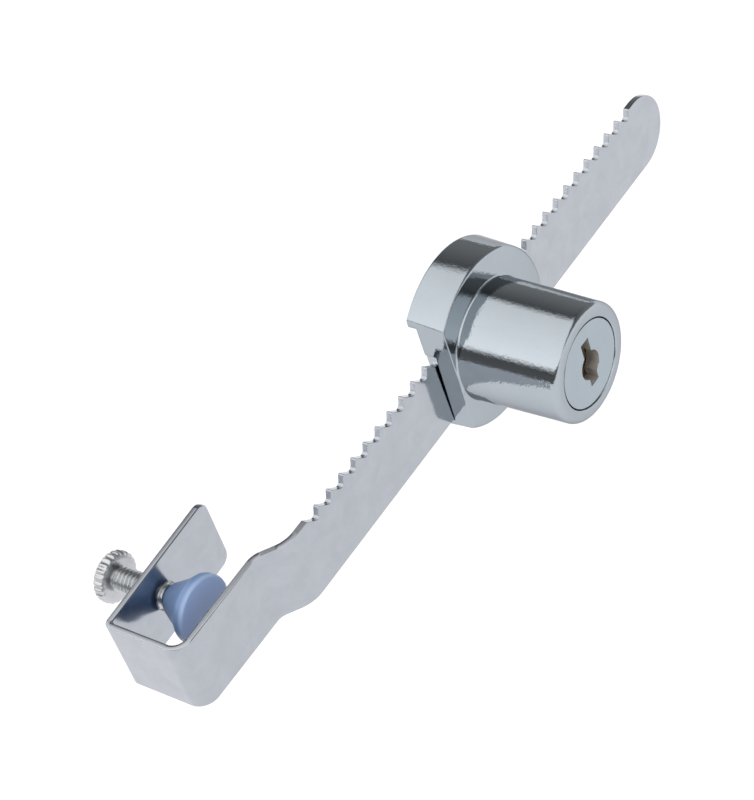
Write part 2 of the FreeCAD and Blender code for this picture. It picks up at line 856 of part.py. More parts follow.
def make_release_cam():
    base = size("cam_base_radius").value
    lift = size("cam_lift").value
    nose = size("cam_nose_radius").value
    turn = math.radians(size("plug_turn").value)
    rate = lift / turn

    def at(angle, out, along):
        """A point at a distance out along the normal, and along the contour."""
        x = -out * math.sin(angle) - along * math.cos(angle)
        z = out * math.cos(angle) - along * math.sin(angle)
        return FreeCAD.Vector(x, 0, z)

    flank_points = [at(turn * i / 8, base + lift * i / 8, rate) for i in range(9)]
    flank_curve = Part.BSplineCurve()
    flank_curve.interpolate(flank_points)
    flank = flank_curve.toShape()

    # The nose arc carries the contour over to a straight back that meets the base circle
    nose_center = at(turn, base + lift - nose, rate)
    center_angle = math.atan2(-nose_center.x, nose_center.z) % (2 * math.pi)
    back_angle = center_angle + math.acos((base - nose) / nose_center.Length)
    nose_start = at(turn, base + lift, rate)
    nose_middle = nose_center + at((turn + back_angle) / 2, nose, 0)
    nose_end = nose_center + at(back_angle, nose, 0)
    base_start = at(back_angle, base, 0)
    base_middle = at((back_angle + 2 * math.pi) / 2, base, 0)
    base_end = at(0, base, 0)
    contour = Part.Wire([
        Part.LineSegment(base_end, flank_points[0]).toShape(),
        flank,
        Part.Arc(nose_start, nose_middle, nose_end).toShape(),
        Part.LineSegment(nose_end, base_start).toShape(),
        Part.Arc(base_start, base_middle, base_end).toShape(),
    ])
    thickness = size("cam_thickness").value
    plate = Part.Face(contour).extrude(FreeCAD.Vector(0, thickness, 0))
    hole = size("drive_square").value + 2 * size("drive_clearance").value
    corner = FreeCAD.Vector(-hole / 2, -thickness, -hole / 2)
    drive_hole = Part.makeBox(hole, 3 * thickness, hole, corner)
    cam = doc.addObject("Part::Feature", "release_cam")
    cam.Label = "release_cam"
    cam.Shape = plate.cut(drive_hole)
    cam.Placement = FreeCAD.Placement(
        FreeCAD.Vector(lock_x.value, -cam_front_depth.value, lock_z.value), FreeCAD.Rotation())
    return cam


def make_cam_screw():
    body = new_body("cam_screw", lock_x, lock_z)
    profile = new_sketch(body, "cam_screw_profile", "YZ_Plane")
    end = cam_back_depth + size("cam_screw_length")
    draw_outline(profile, [
        (-end, 0),
        (-cam_back_depth + size("cam_screw_head_height"), 0),
        (-cam_back_depth + size("cam_screw_head_height"), size("cam_screw_head_radius")),
        (-cam_back_depth, size("cam_screw_head_radius")),
        (-cam_back_depth, size("cam_screw_radius")),
        (-end, size("cam_screw_radius")),
    ])
    revolve(body, "cam_screw_turning", profile)
    return body


# Pawl: a toothed foot over the bar and a flat follower over the cam

def make_pawl():
    body = new_body("pawl", lock_x, lock_z)
    half = size("pawl_half_width")
    gap = size("mesh_gap")
    foot = new_sketch(body, "pawl_foot", "XZ_Plane", pawl_step_depth)
    draw_outline(foot, box_corners(-half, half, pawl_tip_level, pawl_top))
    pad(body, "pawl_foot_pad", foot, size("pawl_foot_thickness"), backwards=True)

    # Room for one tooth of the bar, repeated across the foot
    steep = size("pawl_tooth_offset") - 2 * tooth_pitch
    crest_level = strip_half + gap - lock_z
    below = tooth_depth / 4
    slope_length = tooth_pitch - steep_run - gullet_flat - crest_flat
    steep_per_height = steep_run / tooth_depth
    slope_per_height = slope_length / tooth_depth
    height = tooth_depth + below
    crest_right = steep + steep_run / 2 + crest_flat
    tooth_room = new_sketch(body, "bar_tooth_room", "XZ_Plane", pawl_step_depth)
    steep_at_crest = steep - gap + (tooth_depth / 2 + gap) * steep_per_height
    draw_outline(tooth_room, [
        (steep_at_crest - height * steep_per_height, crest_level - height),
        (crest_right + height * slope_per_height, crest_level - height),
        (crest_right, crest_level),
        (steep_at_crest, crest_level),
    ])
    first_room = pocket(body, "first_tooth_room", tooth_room)
    repeat_cut(body, "tooth_rooms", first_room, "H_Axis", tooth_pitch, as_size(4))

    follower = new_sketch(body, "pawl_follower", "XZ_Plane", pawl_front_depth)
    follower_level = size("cam_base_radius") + size("cam_gap")
    draw_outline(follower, box_corners(-half, half, follower_level, pawl_top))
    pad(body, "pawl_follower_pad", follower, pawl_front_depth - pawl_step_depth, backwards=True)

    spring_hole = new_sketch(body, "pawl_spring_hole", "XY_Plane", pawl_top)
    hole_radius = size("pawl_spring_radius") + size("pawl_spring_clearance")
    draw_circle(spring_hole, 0, -pawl_spring_depth, hole_radius)
    pocket(body, "pawl_spring_hole_cut", spring_hole, size("pawl_spring_seat"))
    return body


def make_all():
    pieces = [
        make_ratchet_bar(),
        make_thumb_screw(),
        make_clamp_pad(),
        make_lock_housing(),
        make_back_plate(),
        make_plate_rivets(),
        make_lock_plug(),
        make_retaining_clip(),
        make_release_cam(),
        make_cam_screw(),
        make_pawl(),
    ]
    pieces.append(make_spring(
        "pawl_spring", lock_x, pawl_spring_depth, lock_z + pawl_spring_floor,
        pawl_room_top - pawl_spring_floor, size("pawl_spring_radius"), size("pawl_spring_bore")))
    for number in range(int(size("wafer_count").value)):
        pieces.append(make_wafer(number, WAFER_CODE[number % len(WAFER_CODE)]))
        pieces.append(make_spring(
            "wafer_spring_%d" % (number + 1), lock_x + wafer_spring_x,
            size("first_wafer") - number * size("wafer_spacing"), lock_z + ear_top,
            size("wafer_spring_length"), size("wafer_spring_radius"), size("wafer_spring_bore")))
    return pieces


def check_and_export(pieces):
    doc.recompute()
    for thing in doc.Objects:
        if "Invalid" in thing.State or "Error" in thing.State:
            raise RuntimeError("%s is %s" % (thing.Name, thing.State))
    for piece in pieces:
        if piece.Shape.isNull() or not piece.Shape.isValid() or not piece.Shape.Solids:
            raise RuntimeError("%s has no valid shape" % piece.Label)
    os.makedirs("parts", exist_ok=True)
    for piece in pieces:
        piece.Shape.exportStep("parts/%s.step" % piece.Label)
        print("%-18s %d solid, %9.3f mm3" % (piece.Label, len(piece.Shape.Solids), piece.Shape.Volume))


check_and_export(make_all())
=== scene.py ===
import json
import math
import bmesh
import bpy
from mathutils import Matrix, Vector


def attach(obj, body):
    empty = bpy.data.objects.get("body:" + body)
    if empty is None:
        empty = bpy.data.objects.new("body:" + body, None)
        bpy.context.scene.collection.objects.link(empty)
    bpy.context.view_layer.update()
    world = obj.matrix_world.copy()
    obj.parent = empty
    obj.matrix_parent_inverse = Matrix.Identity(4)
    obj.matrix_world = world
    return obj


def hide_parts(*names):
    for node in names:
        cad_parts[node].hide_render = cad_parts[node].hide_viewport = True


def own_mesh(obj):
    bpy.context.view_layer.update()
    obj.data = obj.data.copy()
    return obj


# Looks of a showcase lock. Sizes are in millimetres and scaled to metres by MM.
# X runs along the toothed bar, Y from the key side to the back leg, Z up to the teeth.

MM = 0.001

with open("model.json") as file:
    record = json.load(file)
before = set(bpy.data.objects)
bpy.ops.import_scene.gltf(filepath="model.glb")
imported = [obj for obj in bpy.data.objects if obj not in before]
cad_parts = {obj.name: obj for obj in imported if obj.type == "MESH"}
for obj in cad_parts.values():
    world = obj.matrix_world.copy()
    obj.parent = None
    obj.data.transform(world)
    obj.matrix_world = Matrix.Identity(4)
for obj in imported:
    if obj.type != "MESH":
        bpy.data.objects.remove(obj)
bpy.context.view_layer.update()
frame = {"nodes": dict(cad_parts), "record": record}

# The lock body's axis, the plug's front face and the reach of the keyway's walls from the axis
LOCK_X = 58.2
LOCK_Z = 2.85
FACE = 24.52
KEYWAY_REACH = 5.0


# Materials

class Nodes:
    """Adds shader nodes to a tree, with their sockets set by name."""

    def __init__(self, tree):
        self.tree = tree

    def add(self, kind, **sockets):
        node = self.tree.nodes.new("ShaderNode" + kind)
        for name, value in sockets.items():
            self.put(node.inputs[name.replace("_", " ")], value)
        return node

    def put(self, socket, value):
        if isinstance(value, bpy.types.NodeSocket):
            self.tree.links.new(value, socket)
        else:
            socket.default_value = value

    def math(self, operation, first, second=0.0):
        node = self.add("Math")
        node.operation = operation
        self.put(node.inputs[0], first)
        self.put(node.inputs[1], second)
        return node.outputs[0]

    def noise(self, where, scale, detail=3.0, distortion=0.0):
        node = self.add("TexNoise", Vector=where, Scale=scale, Detail=detail, Distortion=distortion)
        return node.outputs["Fac"]

    def spread(self, value, low, high, start=0.3, end=0.7):
        node = self.add("MapRange")
        for name, amount in (("Value", value), ("From Min", start), ("From Max", end),
                             ("To Min", low), ("To Max", high)):
            self.put(node.inputs[name], amount)
        return node.outputs[0]

    def blend(self, amount, first, second):
        node = self.add("Mix")
        node.data_type = "RGBA"
        self.put(node.inputs[0], amount)
        self.put(node.inputs[6], first)
        self.put(node.inputs[7], second)
        return node.outputs[2]


def tint(color, factor):
    """The colour made lighter or darker, with its alpha."""
    return tuple(min(1.0, c * factor) for c in color) + (1.0,)


def new_material(name):
    """A material with one shader, its node helper and the object coordinates."""
    material = bpy.data.materials.new(name)
    material.use_nodes = True
    material.node_tree.nodes.clear()
    n = Nodes(material.node_tree)
    shader = n.add("BsdfPrincipled")
    output = n.add("OutputMaterial")
    n.put(output.inputs["Surface"], shader.outputs[0])
    where = n.add("TexCoord").outputs["Object"]
    return material, n, shader, where


def edge_rounding(n, radius):
    """The rounded normal, and how close the surface is to a sharp edge."""
    softened = n.add("Bevel", Radius=radius)
    softened.samples = 6
    plain = n.add("NewGeometry").outputs["Normal"]
    dot = n.add("VectorMath")
    dot.operation = "DOT_PRODUCT"
    n.put(dot.inputs[0], softened.outputs[0])
    n.put(dot.inputs[1], plain)
    edge = n.spread(dot.outputs["Value"], 1.0, 0.0, 0.86, 0.995)
    return softened.outputs[0], edge


def plated(name, color, rough, mottle=0.03, mottle_scale=200, grain=0.0, ripple=0.0, edge=0.12, edge_highlight=1.12,
           ripple_scale=420, rim=1.0, shear_rough_and_glint=0.0, inside=None):
    """A plated metal: slightly mottled, with a fine grain, slow ripples, and rounded edges with a painted
    highlight.

    The steep tooth faces can be rough from shearing and are then painted lighter, a painted highlight, and a
    function can tell where it is bare inside.
    """
    material, n, shader, where = new_material(name)
    normal, edges = edge_rounding(n, edge * MM)
    clouds = n.noise(where, mottle_scale, 4.0, 0.6)
    specks = n.noise(where, mottle_scale * 6, 2.0)
    shade = n.math("ADD", n.math("MULTIPLY", clouds, 0.8), n.math("MULTIPLY", specks, 0.2))
    level = n.spread(shade, 0.0, 1.0, 0.35, 0.65)
    body = n.blend(level, tint(color, 1 - mottle), tint(color, 1 + mottle))
    # The edges are painted lighter: a painted highlight.
    body = n.blend(n.math("MULTIPLY", edges, 0.6), body, tint(color, edge_highlight))
    dull = n.math("ADD", n.spread(shade, rough * 0.85, rough * 1.15, 0.35, 0.65), n.math("MULTIPLY", edges, 0.03))
    if shear_rough_and_glint:
        flat = n.add("SeparateXYZ", Vector=n.add("NewGeometry").outputs["Normal"])
        steep = n.math("MULTIPLY", n.spread(flat.outputs["X"], 0.0, 1.0, -0.75, -0.85),
                       n.spread(flat.outputs["Z"], 0.0, 1.0, 0.15, 0.25))
        # The steep tooth faces are painted lighter, a painted highlight; their extra roughness stands for
        # shearing.
        body = n.blend(steep, body, tint(color, 1.6))
        dull = n.math("MAXIMUM", dull, n.math("MULTIPLY", steep, shear_rough_and_glint))
    n.put(shader.inputs["Metallic"], 1.0)
    n.put(shader.inputs["Specular Tint"], (rim, rim, rim, 1.0))
    if inside:
        share, bare, bare_rough = inside(n, where)
        n.put(shader.inputs["Metallic"], n.math("SUBTRACT", 1.0, n.math("MULTIPLY", share, 0.85)))
        body = n.blend(share, body, bare)
        dull = n.math("MAXIMUM", dull, n.math("MULTIPLY", share, bare_rough))
    n.put(shader.inputs["Base Color"], body)
    n.put(shader.inputs["Roughness"], dull)
    fine = n.add("Bump", Strength=1.0, Distance=grain * MM, Height=n.noise(where, 4000, 2.0), Normal=normal)
    waves = n.add("Bump", Strength=1.0, Distance=ripple * MM, Height=n.noise(where, ripple_scale, 2.0),
                  Normal=fine.outputs[0])
    n.put(shader.inputs["Normal"], waves.outputs[0])
    return material


KEYWAY_MOUTH = (0.52, 0.49, 0.43, 1)
KEYWAY_SHADE = (0.20, 0.185, 0.165, 1)
PLATED_LIP = 0.12
SHALLOW = 0.4
DEEP = 2.5


def keyway_walls(n, where):
    """Inside the keyway the plug is bare and brown, lighter towards the key's mouth and painted darker deeper in:
    a painted shade.
    """
    place = n.add("SeparateXYZ", Vector=where)
    x = n.math("SUBTRACT", place.outputs["X"], LOCK_X * MM)
    z = n.math("SUBTRACT", place.outputs["Z"], LOCK_Z * MM)
    out = n.math("SQRT", n.math("ADD", n.math("MULTIPLY", x, x), n.math("MULTIPLY", z, z)))
    near = n.math("LESS_THAN", out, KEYWAY_REACH * MM)
    deep = n.spread(place.outputs["Y"], 0.0, 1.0, -FACE * MM, -(FACE - PLATED_LIP) * MM)
    # Deeper in, the bare colour is painted darker: painted shade in the recess.
    depth = n.spread(place.outputs["Y"], 0.0, 1.0, -(FACE - SHALLOW) * MM, -(FACE - DEEP) * MM)
    stain = n.spread(n.noise(where, 900, 3.0), 0.0, 0.5)
    bare = n.blend(n.math("MINIMUM", n.math("ADD", depth, stain), 1.0), KEYWAY_MOUTH, KEYWAY_SHADE)
    return n.math("MULTIPLY", near, deep), bare, 0.42


# Distances along Y in front of which the pad is painted paler: painted light in its shaded front.
PAINTED_LIGHT_TO = 5.5
PAINTED_LIGHT_FADE = 6.3


def plastic(name, color, pale):
    """Moulded plastic: slightly cloudy, softly shining, with a fine orange peel, painted paler towards its front
    face, which lies in shade, and with painted highlights on its edges.
    """
    material, n, shader, where = new_material(name)
    normal, edges = edge_rounding(n, 0.2 * MM)
    clouds = n.noise(where, 500, 3.0, 0.4)
    body = n.blend(n.spread(clouds, 0.0, 1.0), tint(color, 0.93), tint(color, 1.07))
    along = n.add("SeparateXYZ", Vector=where).outputs["Y"]
    # The front face and rim are painted paler: painted light in place of their shade.
    body = n.blend(n.spread(along, 1.0, 0.0, PAINTED_LIGHT_TO * MM, PAINTED_LIGHT_FADE * MM), body, pale + (1,))
    # The edges are painted paler still: a painted highlight.
    n.put(shader.inputs["Base Color"], n.blend(n.math("MULTIPLY", edges, 0.5), body, tint(pale, 1.1)))
    n.put(shader.inputs["Roughness"], n.spread(n.noise(where, 1500, 3.0), 0.34, 0.46))
    n.put(shader.inputs["Subsurface Weight"], 0.6)
    n.put(shader.inputs["Subsurface Radius"], (0.4, 0.6, 1.0))
    n.put(shader.inputs["Subsurface Scale"], 3.5 * MM)
    peel = n.add("Bump", Strength=0.12, Distance=0.03 * MM, Height=n.noise(where, 4000, 3.0), Normal=normal)
    n.put(shader.inputs["Normal"], peel.outputs[0])
    return material


ZINC = (0.435, 0.458, 0.492)
CHROME = (0.42, 0.462, 0.495)
materials = {
    "zinc_strip": plated("zinc_strip", ZINC, 0.125, mottle=0.045, mottle_scale=320, grain=0.0012, ripple=0.008,
                         edge=0.06, shear_rough_and_glint=0.45),
    "zinc_plate": plated("zinc_plate", (0.47, 0.49, 0.51), 0.34, mottle=0.06, mottle_scale=400, grain=0.004,
                         ripple=0.008, edge=0.1),
    "zinc_screw": plated("zinc_screw", (0.56, 0.572, 0.58), 0.3, mottle=0.05, mottle_scale=500, grain=0.002,
                         ripple=0.008, edge=0.08),
    "chrome_housing": plated("chrome_housing", CHROME, 0.045, mottle=0.02, grain=0.004, ripple=0.016, edge=0.3,
                             edge_highlight=1.08, ripple_scale=2000, rim=0.5),
    "chrome_plug": plated("chrome_plug", (0.365, 0.42, 0.455), 0.12, mottle=0.02, grain=0.004, ripple=0.006,
                          edge=0.2, inside=keyway_walls),
    "wafer_brass": plated("wafer_brass", (0.58, 0.49, 0.34), 0.3, mottle=0.08, mottle_scale=600, grain=0.004,
                          edge=0.06),
    "spring_steel": plated("spring_steel", (0.42, 0.43, 0.45), 0.3, mottle=0.06, mottle_scale=600, grain=0.003,
                           edge=0.04),
    "blue_pad": plastic("blue_pad", (0.19, 0.285, 0.48), (0.40, 0.52, 0.77)),
}


def dress(thing, slot):
    thing.data.materials.clear()
    thing.data.materials.append(materials[slot])


# Mesh helpers

def new_piece(name, shape, slot, body, sharp=28):
    """A mesh object from a bmesh in millimetres, smooth but for its sharp edges."""
    bmesh.ops.recalc_face_normals(shape, faces=shape.faces)
    mesh = bpy.data.meshes.new(name)
    shape.to_mesh(mesh)
    shape.free()
    mesh.transform(Matrix.Scale(MM, 4))
    thing = bpy.data.objects.new(name, mesh)
    bpy.context.scene.collection.objects.link(thing)
    mesh.shade_smooth()
    mesh.set_sharp_from_angle(angle=math.radians(sharp))
    dress(thing, slot)
    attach(thing, body)
    return thing


def rounded(corners, steps=7):
    """A line of points from (a, b) corners, each with an optional radius."""
    points = []
    count = len(corners)
    for i, corner in enumerate(corners):
        here = Vector(corner[:2])
        if len(corner) == 2:
            points.append(here)
            continue
        back = (Vector(corners[i - 1][:2]) - here).normalized()
        ahead = (Vector(corners[(i + 1) % count][:2]) - here).normalized()
        half = back.angle(ahead) / 2
        center = here + (back + ahead).normalized() * (corner[2] / math.sin(half))
        reach = corner[2] / math.tan(half)
        first = here + back * reach - center
        turn = first.angle_signed(here + ahead * reach - center)
        for step in range(steps + 1):
            points.append(center + Matrix.Rotation(-turn * step / steps, 2) @ first)
    return points


def turned(shape, outline, x, z, segments, closed=True):
    """Adds a turning about the line through (x, z) along Y. The outline's points are (y, radius)."""
    rings = []
    for y, radius in outline:
        if radius < 1e-6:
            rings.append([shape.verts.new((x, y, z))])
            continue
        ring = []
        for i in range(segments):
            angle = 2 * math.pi * i / segments
            ring.append(shape.verts.new((x + radius * math.cos(angle), y, z + radius * math.sin(angle))))
        rings.append(ring)
    last = len(rings) if closed else len(rings) - 1
    for i in range(last):
        join_rings(shape, rings[i], rings[(i + 1) % len(rings)])


def join_rings(shape, first, second):
    """Adds the faces between two rings, either of which may be a single point."""
    if len(first) == 1 and len(second) == 1:
        return
    count = max(len(first), len(second))
    for i in range(count):
        j = (i + 1) % count
        if len(first) == 1:
            shape.faces.new((first[0], second[i], second[j]))
        elif len(second) == 1:
            shape.faces.new((first[i], second[0], first[j]))
        else:
            shape.faces.new((first[i], second[i], second[j], first[j]))


def box(low, high, lean=0.0):
    """A box to cut with. Its front side can lean out, more towards its top."""
    shape = bmesh.new()
    made = bmesh.ops.create_cube(shape, size=1)
    center = [(a + b) / 2 for a, b in zip(low, high)]
    spans = [b - a for a, b in zip(low, high)]
    for vertex in made["verts"]:
        vertex.co = [c + s * v for c, s, v in zip(center, spans, vertex.co)]
        if vertex.co.y < center[1] and vertex.co.z > center[2]:
            vertex.co.y -= lean
    mesh = bpy.data.meshes.new("cutter")
    shape.to_mesh(mesh)
    shape.free()
    mesh.transform(Matrix.Scale(MM, 4))
    return bpy.data.objects.new("cutter", mesh)


def cut_with(thing, cutters, sharp=28):
    """Takes the cutters away from the piece, for good."""
    scene = bpy.context.scene
    for cutter in cutters:
        scene.collection.objects.link(cutter)
        tool = thing.modifiers.new("cut", "BOOLEAN")
        tool.operation = "DIFFERENCE"
        tool.solver = "EXACT"
        tool.object = cutter
    bpy.context.view_layer.update()
    shown = thing.evaluated_get(bpy.context.evaluated_depsgraph_get())
    mesh = bpy.data.meshes.new_from_object(shown)
    thing.modifiers.clear()
    old = thing.data
    thing.data = mesh
    bpy.data.meshes.remove(old)
    for cutter in cutters:
        bpy.data.objects.remove(cutter)
    mesh.shade_smooth()
    mesh.set_sharp_from_angle(angle=math.radians(sharp))


# Housing: its turned form with true roundings, and the rooms that show

# Distances in front of the bar's back plane
BACK = 1.33
SEAT = 2.73
SHOULDER = 7.67
FRONT = 24.62
LEDGE = 22.68
WEB_FRONT = 8.4
WEB_BACK = 7.2
CHANNEL_FRONT = 4.34
PAWL_ROOM_FRONT = 6.25
GROOVES_FRONT = 22.45
GROOVES_BACK = 11.15

# Radii about the lock's axis
SEAT_RADIUS = 13.3
MOUTH_RADIUS = 6.98
BORE_RADIUS = 6.05
TAIL_RADIUS = 4.5
CAM_ROOM_RADIUS = 5.6

# The flat, the bar's channel, the pawl's room and the wafers' grooves
FLAT_REACH = 9.56
CHANNEL_LOW = -6.6
CHANNEL_HIGH = 6.75
CHANNEL_LEAN = 0.32
PAWL_ROOM_HALF = 4.7
PAWL_ROOM_TOP = 12.6
GROOVE_HALF = 2.6
GROOVE_REACH = 6.9
PAST = 30
OVERCUT = 0.001

shell = bmesh.new()
turned(shell, rounded([
    (-BACK, SEAT_RADIUS),
    (-BACK, 14.32, 0.25),
    (-SHOULDER, 13.9, 0.6),
    (-SHOULDER, 9.43, 0.3),
    (-FRONT, 9.15, 0.95),
    (-FRONT, MOUTH_RADIUS, 0.15),
    (-LEDGE, MOUTH_RADIUS),
    (-LEDGE, BORE_RADIUS),
    (-WEB_FRONT, BORE_RADIUS),
    (-WEB_FRONT, TAIL_RADIUS),
    (-WEB_BACK, TAIL_RADIUS),
    (-WEB_BACK, CAM_ROOM_RADIUS),
    (-SEAT, CAM_ROOM_RADIUS),
    (-SEAT, SEAT_RADIUS),
]), LOCK_X, LOCK_Z, 240)
housing = new_piece("housing_shell", shell, "chrome_housing", "lock_body")
cut_with(housing, [
    box((LOCK_X - PAST, -PAST, -PAST), (LOCK_X - FLAT_REACH, 5, PAST)),
    box((LOCK_X - PAST, -CHANNEL_FRONT, CHANNEL_LOW), (LOCK_X + PAST, -SEAT + OVERCUT, CHANNEL_HIGH),
        lean=CHANNEL_LEAN),
    box((LOCK_X - PAWL_ROOM_HALF, -PAWL_ROOM_FRONT, LOCK_Z),
        (LOCK_X + PAWL_ROOM_HALF, -SEAT + OVERCUT, PAWL_ROOM_TOP)),
    box((LOCK_X - GROOVE_HALF, -GROOVES_FRONT, LOCK_Z - GROOVE_REACH),
        (LOCK_X + GROOVE_HALF, -GROOVES_BACK, LOCK_Z + GROOVE_REACH)),
])
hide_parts("lock_housing")


# Ratchet bar: a flat blank with rounded teeth and rims, bent along its centre line

STRIP = 1.0
HALF_WIDTH = 6.35
TIP = 114.8
TOOTH_PITCH = 3.175
TOOTH_COUNT = 29
FIRST_TOOTH = 17.69
TOOTH_DEPTH = 1.6
CREST_FLAT = 0.25
STEEP_RUN = TOOTH_DEPTH / math.tan(math.radians(68))

# The centre line's places: the toothed part, the front leg, the web and the back leg
BAR_Y = -3.7
FRONT_LEG_Y = -0.5
JOGGLE_START = 5.9
JOGGLE_TURN = math.radians(38.5)
WEB_OUTER = -11.35
BACK_LEG_Y = 12.58
LEG_END = 13.15
SPLAY = math.tan(math.radians(2.3))
LEG_CORNER = 1.8

SCREW_HOLE = 2.05
HOLE_POINTS = 64
BEND_STEP = 5
PLAIN_RIM = 0.08
HOOK_RIM = 0.28
RIM_RUN = 4


def bend_line():
    """The strip's centre line from the tip to the back leg's end, as straight runs and arcs."""
    inner_radius = 2.5
    start = JOGGLE_START + (inner_radius + STRIP / 2) * math.tan(JOGGLE_TURN / 2)
    end = start + (FRONT_LEG_Y - BAR_Y) / math.tan(JOGGLE_TURN)
    web = WEB_OUTER + STRIP / 2
    corners = [
        (Vector((TIP, BAR_Y)), 0.0),
        (Vector((end, BAR_Y)), 5.5),
        (Vector((start, FRONT_LEG_Y)), inner_radius + STRIP / 2),
        (Vector((web, FRONT_LEG_Y)), 2.4),
        (Vector((web, BACK_LEG_Y)), 0.8),
        (Vector((LEG_END, BACK_LEG_Y + (LEG_END - web) * SPLAY)), 0.0),
    ]
    runs = []
    at = 0.0
    here = corners[0][0]
    for i in range(1, len(corners)):
        corner, radius = corners[i]
        way = (corner - here).normalized()
        if radius == 0.0:
            runs.append((at, (corner - here).length, here, way, None, 0.0))
            break
        out = (corners[i + 1][0] - corner).normalized()
        turn = math.atan2(way.x * out.y - way.y * out.x, way.dot(out))
        reach = radius * math.tan(abs(turn) / 2)
        straight = (corner - here).length - reach
        runs.append((at, straight, here, way, None, 0.0))
        at += straight
        begin = corner - way * reach
        side = Vector((-way.y, way.x)) * math.copysign(radius, turn)
        runs.append((at, radius * abs(turn), begin, way, begin + side, turn))
        at += radius * abs(turn)
        here = corner + out * reach
    return runs


BENDS = bend_line()
HOOK_START = BENDS[4][0]


def bent(s, z, t):
    """A point of the blank: s along it from the tip, z across it, t from its front to its back face."""
    at, length, begin, way, center, turn = next(run for run in reversed(BENDS) if s >= run[0] - 1e-9)
    share = (s - at) / length
    if center is None:
        middle = begin + way * (s - at)
    else:
        middle = center + Matrix.Rotation(turn * share, 2) @ (begin - center)
        way = Matrix.Rotation(turn * share, 2) @ way
    across = Vector((way.y, -way.x))
    place = middle + across * (t - STRIP / 2)
    return Vector((place.x, place.y, z))


def blank_outline(stations):
    """The blank's outline in (s, z), with a point on both long edges at each bend station."""
    length = BENDS[-1][0] + BENDS[-1][1]
    low = [(s, -HALF_WIDTH) for s in stations]
    high = [(s, HALF_WIDTH) for s in reversed(stations)]
    round_tip = [(HALF_WIDTH - HALF_WIDTH * math.cos(a), -HALF_WIDTH * math.sin(a))
                 for a in (math.pi * (i / 48 - 0.5) for i in range(1, 48))]
    teeth = []
    for i in range(TOOTH_COUNT):
        steep = FIRST_TOOTH + i * TOOTH_PITCH
        teeth += [
            (TIP - (steep + STEEP_RUN / 2 - TOOTH_PITCH + CREST_FLAT), HALF_WIDTH, 0.13),
            (TIP - (steep - STEEP_RUN / 2 - 0.09), HALF_WIDTH - TOOTH_DEPTH - 0.3, 0.6),
            (TIP - (steep + STEEP_RUN / 2), HALF_WIDTH, 0.27),
        ]
    line = [(HALF_WIDTH, HALF_WIDTH)] + round_tip + [(HALF_WIDTH, -HALF_WIDTH)] + low
    line += [(length, -HALF_WIDTH, LEG_CORNER), (length, HALF_WIDTH, LEG_CORNER)] + high + teeth
    return rounded(line, 6)


def rim_at(s):
    """The rim's radius, which the bends of the hook widen."""
    return PLAIN_RIM + (HOOK_RIM - PLAIN_RIM) * min(1.0, max(0.0, (s - HOOK_START) / RIM_RUN))


def inset(points, share):
    """The closed line moved to its inner side, corner by corner, by a share of the rim's radius there."""
    moved = []
    count = len(points)
    for i, here in enumerate(points):
        back = (here - points[i - 1]).normalized()
        ahead = (points[(i + 1) % count] - here).normalized()
        normal = Vector((-back.y - ahead.y, back.x + ahead.x))
        normal.normalize()
        miter = max(0.5, normal.dot(Vector((-back.y, back.x))))
        moved.append(here + normal * (share * rim_at(here.x) / miter))
    return moved


def around(ring, first, last):
    """The part of a closed ring from one place in it to another, both of them in it."""
    return ring[first:last + 1] if first <= last else ring[first:] + ring[:last + 1]


def ratchet_strip():
    """The bent strip: rims from ring to ring, then its two sides in bands between the bends' stations."""
    stations = []
    for at, length, begin, way, center, turn in BENDS:
        if center is not None:
            steps = max(2, round(abs(math.degrees(turn)) / BEND_STEP))
            stations += [at + length * i / steps for i in range(steps + 1)]
    outline = blank_outline(stations)
    if sum(a.x * b.y - b.x * a.y for a, b in zip(outline, outline[1:] + outline[:1])) < 0:
        outline.reverse()
    at, length, begin, way, center, turn = BENDS[-1]
    hole_s = at - begin.x / way.x
    hole = [Vector((hole_s + SCREW_HOLE * math.cos(a), SCREW_HOLE * math.sin(a)))
            for a in (-2 * math.pi * i / HOLE_POINTS for i in range(HOLE_POINTS))]
    quarter = [math.pi / 8 * i for i in range(5)]
    levels = [(0, 1 - math.cos(a), 1 - math.sin(a)) for a in quarter]
    levels += [(STRIP, math.cos(a) - 1, 1 - math.sin(a)) for a in reversed(quarter)]
    shape = bmesh.new()
    faces_at = []
    for loop in (outline, hole):
        rings = []
        for side, rise, share in levels:
            rings.append([shape.verts.new(bent(point.x, point.y, side + rise * rim_at(point.x)))
                          for point in inset(loop, share)])
        for first, second in zip(rings, rings[1:]):
            join_rings(shape, first, second)
        faces_at.append(rings)
    for side in (0, -1):
        edge, hole_edge = [rings[side] for rings in faces_at]
        low, high = [], []
        for station in stations:
            ends = sorted((i for i, point in enumerate(outline) if abs(point.x - station) < 1e-3),
                          key=lambda i: outline[i].y)
            low.append(ends[0])
            high.append(ends[-1])
        for i in range(len(stations) - 1):
            shape.faces.new([edge[k] for k in (low[i], low[i + 1], high[i + 1], high[i])])
        shape.faces.new(around(edge, high[0], low[0]))
        leg_part = around(edge, low[-1], high[-1])
        corner = len(leg_part) // 2
        across = HOLE_POINTS // 2
        shape.faces.new(leg_part[:corner + 1] + hole_edge[:across + 1])
        shape.faces.new(leg_part[corner:] + [leg_part[0]] + hole_edge[across:] + [hole_edge[0]])
    return shape


strip = new_piece("ratchet_strip", ratchet_strip(), "zinc_strip", "bar", sharp=40)
weights = strip.modifiers.new("weights", "WEIGHTED_NORMAL")
weights.keep_sharp = True
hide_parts("ratchet_bar")


# Thumb screw: knurled head, rolled thread, turned-down neck and collar

KNOB_INNER = 21.5
KNOB_OUTER = 23.3
KNOB_RADIUS = 3.95
KNOB_NOTCHES = 24
NOTCH_DEPTH = 0.21
NOTCH_SHARE = 0.7
POINTS_PER_NOTCH = 10
DISHING = 0.1

